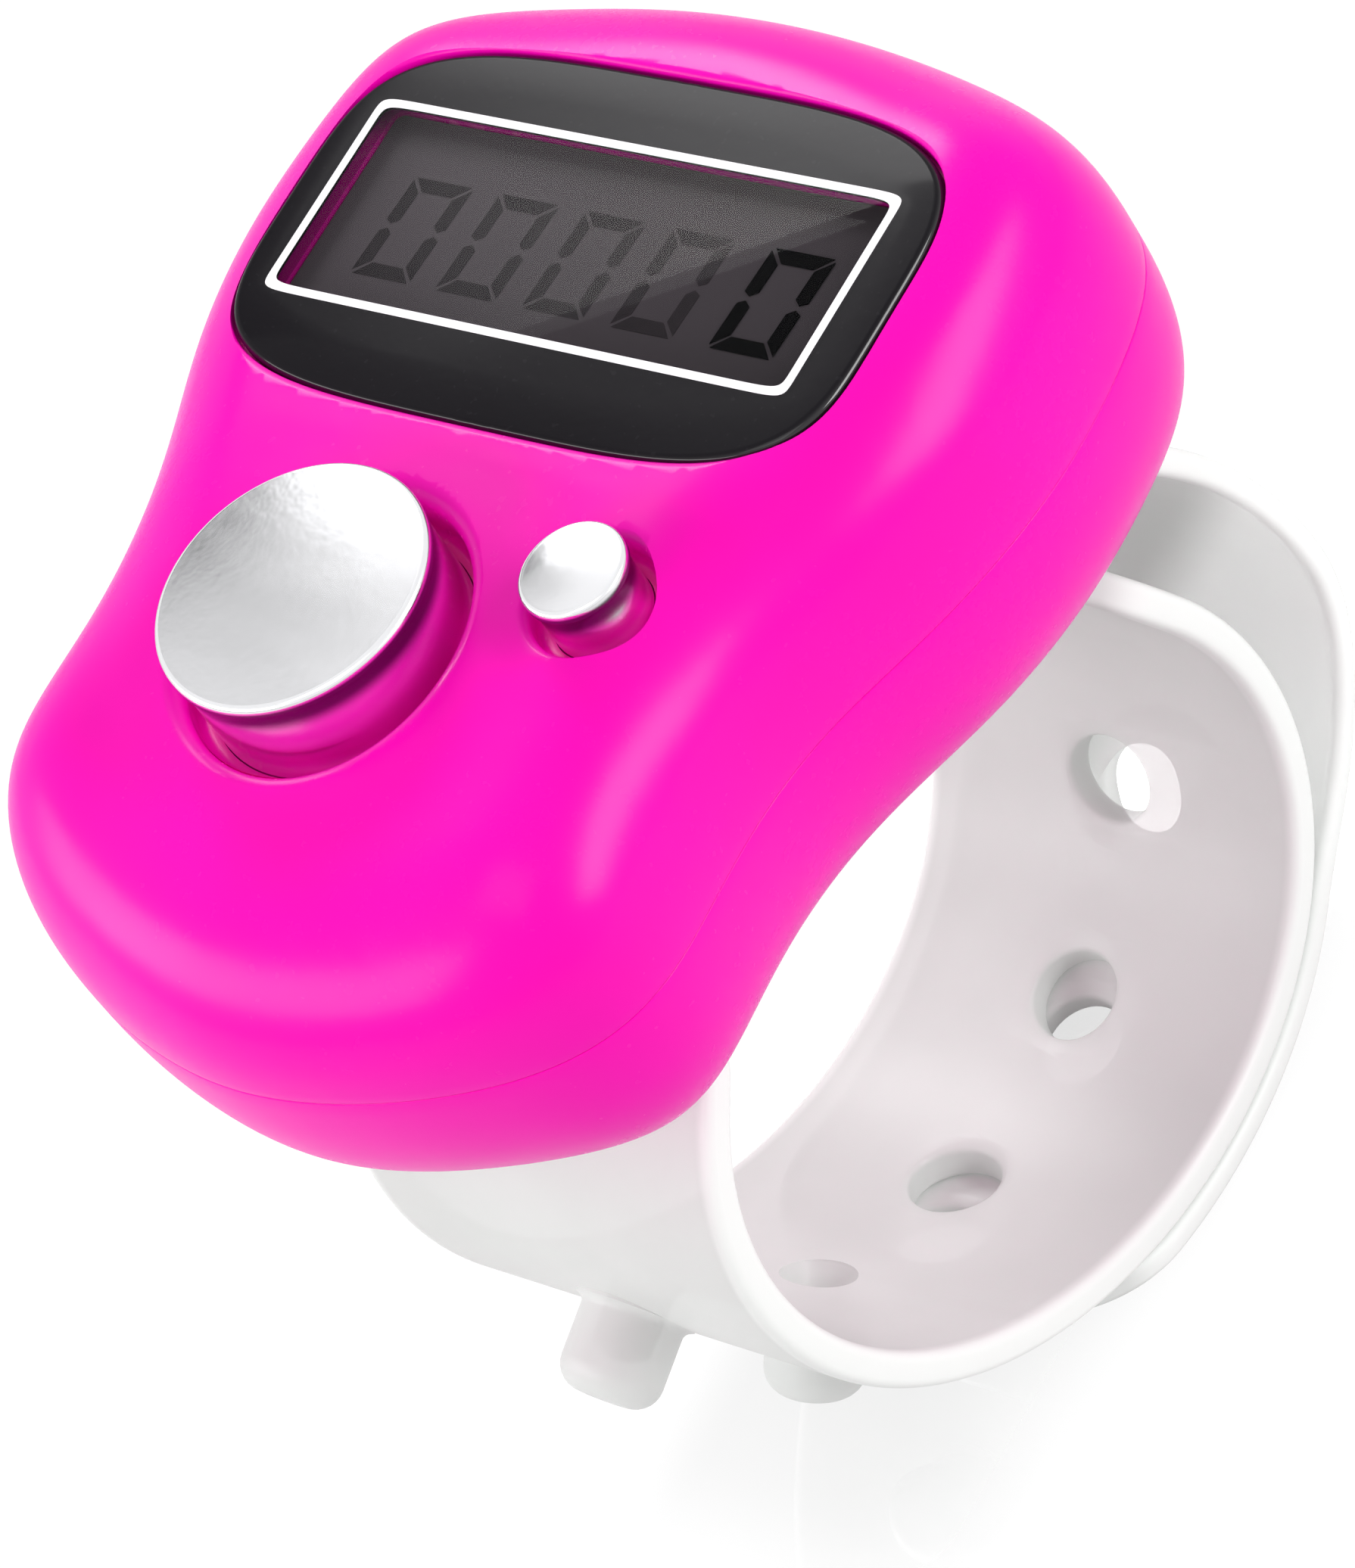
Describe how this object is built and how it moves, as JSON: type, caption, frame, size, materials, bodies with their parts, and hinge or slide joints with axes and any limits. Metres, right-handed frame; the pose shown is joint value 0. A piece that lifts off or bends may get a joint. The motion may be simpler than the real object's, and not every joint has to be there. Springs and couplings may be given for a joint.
{
  "type": "finger-worn digital tally counter",
  "caption": "Finger-worn digital tally counter: a display over a round count button and a small reset button, on two straps that close into a ring.",
  "frame": {"origin": "Middle of the bounding box in X and Y, at the lowest point of the strap ring.", "axes": "X runs along the display's line of digits, Y towards the top of the display, Z out of the face."},
  "size_m": [0.0246, 0.032, 0.0368],
  "materials": {
    "magenta_plastic": "bright magenta, smooth with a soft gloss",
    "clear_window": "clear acrylic, printed dark round the display",
    "chromed_plastic": "bright plating on plastic",
    "milky_strap": "milky, half clear, smooth",
    "screw_steel": "plated steel",
    "display_glass": "polarised grey glass",
    "rear_glass": "grey glass",
    "reflector_film": "silver-grey film",
    "holder_plastic": "white, matt",
    "striped_rubber": "dark, with fine stripes",
    "board_laminate": "green laminate",
    "chip_resin": "black resin",
    "capacitor_ceramic": "brown ceramic with tinned ends",
    "switch_plastic": "black, matt",
    "plunger_plastic": "red, matt",
    "cell_steel": "nickel plated",
    "contact_nickel": "nickel plated spring metal"
  },
  "bodies": {
    "case": {"top_shell": "magenta_plastic", "bottom_shell": "magenta_plastic", "display_window": "clear_window", "long_strap": "milky_strap", "short_strap": "milky_strap", "case_screw_left": "screw_steel", "case_screw_right": "screw_steel", "case_screw_end": "screw_steel", "board_screw_left": "screw_steel", "board_screw_right": "screw_steel", "lcd_front_glass": "display_glass", "lcd_rear_glass": "rear_glass", "lcd_reflector": "reflector_film", "lcd_holder": "holder_plastic", "zebra_strip": "striped_rubber", "circuit_board": "board_laminate", "chip_drop": "chip_resin", "capacitor_left": "capacitor_ceramic", "capacitor_right": "capacitor_ceramic", "count_switch_base": "switch_plastic", "reset_switch_base": "switch_plastic", "button_cell": "cell_steel", "positive_contact": "contact_nickel", "negative_contact": "contact_nickel"},
    "count_button": {"count_button": "chromed_plastic", "count_switch_plunger": "plunger_plastic"},
    "reset_button": {"reset_button": "chromed_plastic", "reset_switch_plunger": "plunger_plastic"}
  },
  "joints": [
    {"name": "count_press", "type": "slide", "parent": "case", "child": "count_button", "axis": [0, 0, -1], "range_m": [0, 0.0005], "stiffness_N_per_m": 150, "springref_m": -0.003},
    {"name": "reset_press", "type": "slide", "parent": "case", "child": "reset_button", "axis": [0, 0, -1], "range_m": [0, 0.0004], "stiffness_N_per_m": 60, "springref_m": -0.003}
  ]
}
